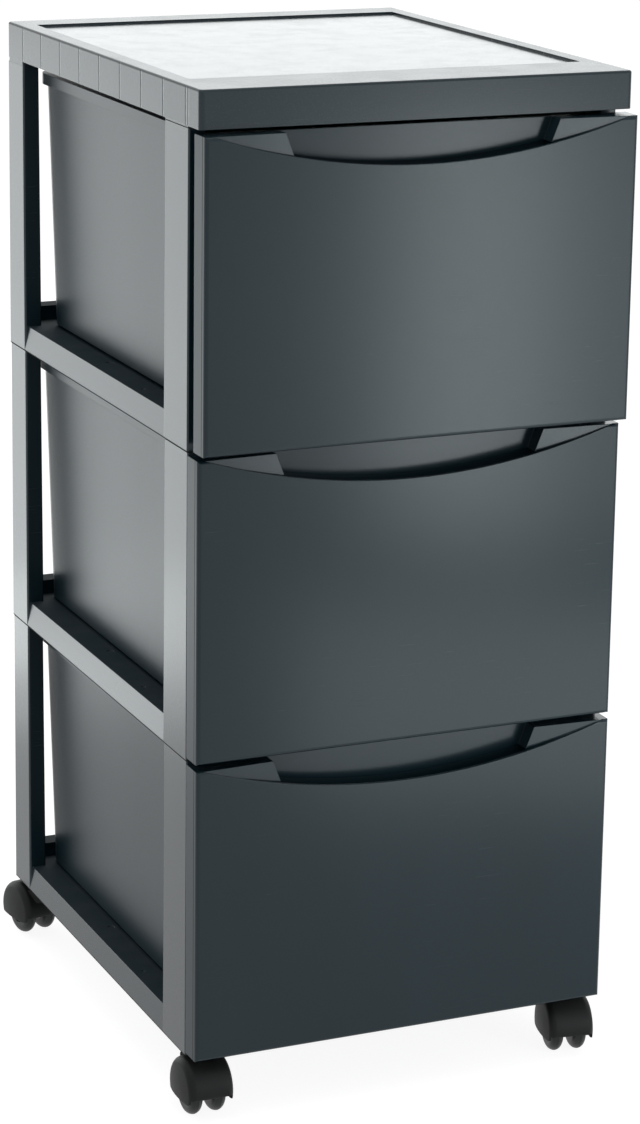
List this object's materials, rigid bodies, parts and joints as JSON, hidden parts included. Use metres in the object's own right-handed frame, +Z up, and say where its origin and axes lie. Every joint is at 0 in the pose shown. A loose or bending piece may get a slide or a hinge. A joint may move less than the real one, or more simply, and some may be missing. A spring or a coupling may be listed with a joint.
{
  "type": "plastic drawer tower",
  "caption": "Narrow moulded-plastic drawer tower with a tray lid, stacking open frames, curved-scoop drawers and castors.",
  "frame": {"origin": "on the floor, under the middle of the whole part", "axes": "+Z up, -Y towards the drawer fronts, +X to the right seen from the front"},
  "size_m": [0.3078, 0.3859, 0.6648],
  "materials": {
    "lid_plastic": "moulded satin gloss anthracite",
    "frame_plastic": "moulded satin gloss anthracite",
    "bin_plastic": "moulded satin gloss anthracite",
    "front_plastic": "moulded satin gloss anthracite",
    "castor_housing": "fine satin black",
    "castor_wheel": "satin black",
    "castor_steel": "zinc-plated steel"
  },
  "bodies": {
    "tower": {"lid": "lid_plastic", "frame_bottom": "frame_plastic", "frame_middle": "frame_plastic", "frame_top": "frame_plastic"},
    "drawer_bottom": {"drawer_bottom_bin": "bin_plastic", "drawer_bottom_front": "front_plastic"},
    "drawer_middle": {"drawer_middle_bin": "bin_plastic", "drawer_middle_front": "front_plastic"},
    "drawer_top": {"drawer_top_bin": "bin_plastic", "drawer_top_front": "front_plastic"},
    "castor_front_left": {"castor_front_left_housing": "castor_housing", "castor_front_left_stem": "castor_steel", "castor_front_left_axle": "castor_steel"},
    "castor_front_left_wheel_left": {"castor_front_left_wheel_left": "castor_wheel"},
    "castor_front_left_wheel_right": {"castor_front_left_wheel_right": "castor_wheel"},
    "castor_front_right": {"castor_front_right_housing": "castor_housing", "castor_front_right_stem": "castor_steel", "castor_front_right_axle": "castor_steel"},
    "castor_front_right_wheel_left": {"castor_front_right_wheel_left": "castor_wheel"},
    "castor_front_right_wheel_right": {"castor_front_right_wheel_right": "castor_wheel"},
    "castor_back_left": {"castor_back_left_housing": "castor_housing", "castor_back_left_stem": "castor_steel", "castor_back_left_axle": "castor_steel"},
    "castor_back_left_wheel_left": {"castor_back_left_wheel_left": "castor_wheel"},
    "castor_back_left_wheel_right": {"castor_back_left_wheel_right": "castor_wheel"},
    "castor_back_right": {"castor_back_right_housing": "castor_housing", "castor_back_right_stem": "castor_steel", "castor_back_right_axle": "castor_steel"},
    "castor_back_right_wheel_left": {"castor_back_right_wheel_left": "castor_wheel"},
    "castor_back_right_wheel_right": {"castor_back_right_wheel_right": "castor_wheel"}
  },
  "joints": [
    {"name": "drawer_bottom_slide", "type": "slide", "parent": "tower", "child": "drawer_bottom", "axis": [0, -1, 0], "range_m": [0, 0.25]},
    {"name": "drawer_middle_slide", "type": "slide", "parent": "tower", "child": "drawer_middle", "axis": [0, -1, 0], "range_m": [0, 0.25]},
    {"name": "drawer_top_slide", "type": "slide", "parent": "tower", "child": "drawer_top", "axis": [0, -1, 0], "range_m": [-0.01, 0.24]},
    {"name": "castor_front_left_swivel", "type": "hinge", "parent": "tower", "child": "castor_front_left", "pos_m": [-0.1325, -0.15078, 0.0413], "axis": [0, 0, 1], "continuous": true},
    {"name": "castor_front_left_wheel_left_roll", "type": "hinge", "parent": "castor_front_left", "child": "castor_front_left_wheel_left", "pos_m": [-0.1325, -0.16178, 0.015], "axis": [1, 0, 0], "continuous": true},
    {"name": "castor_front_left_wheel_right_roll", "type": "hinge", "parent": "castor_front_left", "child": "castor_front_left_wheel_right", "pos_m": [-0.1325, -0.16178, 0.015], "axis": [1, 0, 0], "continuous": true},
    {"name": "castor_front_right_swivel", "type": "hinge", "parent": "tower", "child": "castor_front_right", "pos_m": [0.1325, -0.15078, 0.0413], "axis": [0, 0, 1], "continuous": true},
    {"name": "castor_front_right_wheel_left_roll", "type": "hinge", "parent": "castor_front_right", "child": "castor_front_right_wheel_left", "pos_m": [0.13059, -0.16161, 0.015], "axis": [0.9848, -0.1736, 0], "continuous": true},
    {"name": "castor_front_right_wheel_right_roll", "type": "hinge", "parent": "castor_front_right", "child": "castor_front_right_wheel_right", "pos_m": [0.13059, -0.16161, 0.015], "axis": [0.9848, -0.1736, 0], "continuous": true},
    {"name": "castor_back_left_swivel", "type": "hinge", "parent": "tower", "child": "castor_back_left", "pos_m": [-0.1325, 0.15972, 0.0413], "axis": [0, 0, 1], "continuous": true},
    {"name": "castor_back_left_wheel_left_roll", "type": "hinge", "parent": "castor_back_left", "child": "castor_back_left_wheel_left", "pos_m": [-0.13441, 0.17056, 0.015], "axis": [-0.9848, -0.1736, 0], "continuous": true},
    {"name": "castor_back_left_wheel_right_roll", "type": "hinge", "parent": "castor_back_left", "child": "castor_back_left_wheel_right", "pos_m": [-0.13441, 0.17056, 0.015], "axis": [-0.9848, -0.1736, 0], "continuous": true},
    {"name": "castor_back_right_swivel", "type": "hinge", "parent": "tower", "child": "castor_back_right", "pos_m": [0.1325, 0.15972, 0.0413], "axis": [0, 0, 1], "continuous": true},
    {"name": "castor_back_right_wheel_left_roll", "type": "hinge", "parent": "castor_back_right", "child": "castor_back_right_wheel_left", "pos_m": [0.13441, 0.17056, 0.015], "axis": [-0.9848, 0.1736, 0], "continuous": true},
    {"name": "castor_back_right_wheel_right_roll", "type": "hinge", "parent": "castor_back_right", "child": "castor_back_right_wheel_right", "pos_m": [0.13441, 0.17056, 0.015], "axis": [-0.9848, 0.1736, 0], "continuous": true}
  ]
}
